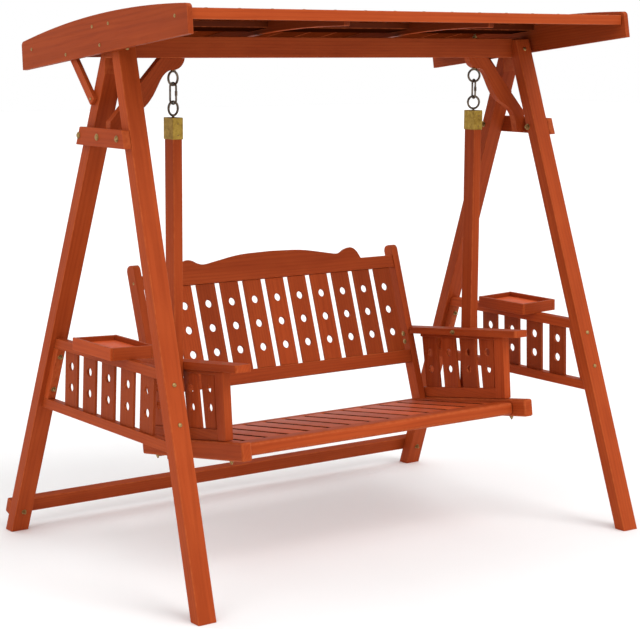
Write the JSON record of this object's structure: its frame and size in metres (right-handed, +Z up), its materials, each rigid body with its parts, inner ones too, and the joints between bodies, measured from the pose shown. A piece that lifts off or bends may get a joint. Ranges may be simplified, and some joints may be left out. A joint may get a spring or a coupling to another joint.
{
  "type": "canopy swing bench",
  "caption": "Slatted hardwood bench hanging from an A-frame stand on eye bolts and quick links, with side trays and a shallow arched canopy.",
  "frame": {"origin": "on the ground under the middle of the overall box", "axes": "+X to the right of someone facing the bench, -Y to the front, +Z up"},
  "size_m": [1.7632, 1.2, 1.698],
  "materials": {
    "stained_hardwood": "reddish stained outdoor hardwood, satin",
    "brass": "dull brass sheet",
    "dark_bronzed_steel": "dark bronzed steel"
  },
  "bodies": {
    "stand": {"leg_front_left": "stained_hardwood", "leg_rear_left": "stained_hardwood", "cross_plate_left": "stained_hardwood", "knee_brace_left": "stained_hardwood", "canopy_strut_left": "stained_hardwood", "side_panel_left": "stained_hardwood", "tray_left": "stained_hardwood", "canopy_arch_left": "stained_hardwood", "canopy_rafter_left": "stained_hardwood", "eye_bolt_upper_left": "dark_bronzed_steel", "leg_front_right": "stained_hardwood", "leg_rear_right": "stained_hardwood", "cross_plate_right": "stained_hardwood", "knee_brace_right": "stained_hardwood", "canopy_strut_right": "stained_hardwood", "side_panel_right": "stained_hardwood", "tray_right": "stained_hardwood", "canopy_arch_right": "stained_hardwood", "canopy_rafter_right": "stained_hardwood", "eye_bolt_upper_right": "dark_bronzed_steel", "ridge_beam": "stained_hardwood", "lower_stretcher": "stained_hardwood", "canopy_front_rail": "stained_hardwood", "canopy_rear_rail": "stained_hardwood", "canopy_ridge_board": "stained_hardwood", "canopy_roof": "stained_hardwood"},
    "link_left": {"quick_link_left": "dark_bronzed_steel"},
    "link_right": {"quick_link_right": "dark_bronzed_steel"},
    "bench": {"hanger_post_left": "stained_hardwood", "post_cap_left": "brass", "eye_bolt_lower_left": "dark_bronzed_steel", "seat_side_rail_left": "stained_hardwood", "back_stile_left": "stained_hardwood", "arm_post_left": "stained_hardwood", "armrest_left": "stained_hardwood", "arm_panel_left": "stained_hardwood", "hanger_post_right": "stained_hardwood", "post_cap_right": "brass", "eye_bolt_lower_right": "dark_bronzed_steel", "seat_side_rail_right": "stained_hardwood", "back_stile_right": "stained_hardwood", "arm_post_right": "stained_hardwood", "armrest_right": "stained_hardwood", "arm_panel_right": "stained_hardwood", "seat_front_rail": "stained_hardwood", "seat_back_rail": "stained_hardwood", "seat_slats": "stained_hardwood", "back_crest_rail": "stained_hardwood", "back_bottom_rail": "stained_hardwood", "back_slat_01": "stained_hardwood", "back_slat_02": "stained_hardwood", "back_slat_03": "stained_hardwood", "back_slat_04": "stained_hardwood", "back_slat_05": "stained_hardwood", "back_slat_06": "stained_hardwood", "back_slat_07": "stained_hardwood", "back_slat_08": "stained_hardwood", "back_slat_09": "stained_hardwood", "back_slat_10": "stained_hardwood", "back_slat_11": "stained_hardwood"}
  },
  "joints": [
    {"name": "left_link_swing", "type": "hinge", "parent": "stand", "child": "link_left", "pos_m": [-0.591, -0.0395, 1.466], "axis": [1, 0, 0], "range_deg": [-20, 20]},
    {"name": "bench_swing", "type": "hinge", "parent": "link_left", "child": "bench", "pos_m": [-0.591, -0.0395, 1.4175], "axis": [1, 0, 0], "range_deg": [-8, 8]},
    {"name": "right_link_swing", "type": "hinge", "parent": "stand", "child": "link_right", "pos_m": [0.591, -0.0395, 1.466], "axis": [1, 0, 0], "range_deg": [-20, 20]}
  ],
  "couplings": [
    {"joint": "right_link_swing", "follows": "left_link_swing", "ratio": 1}
  ]
}
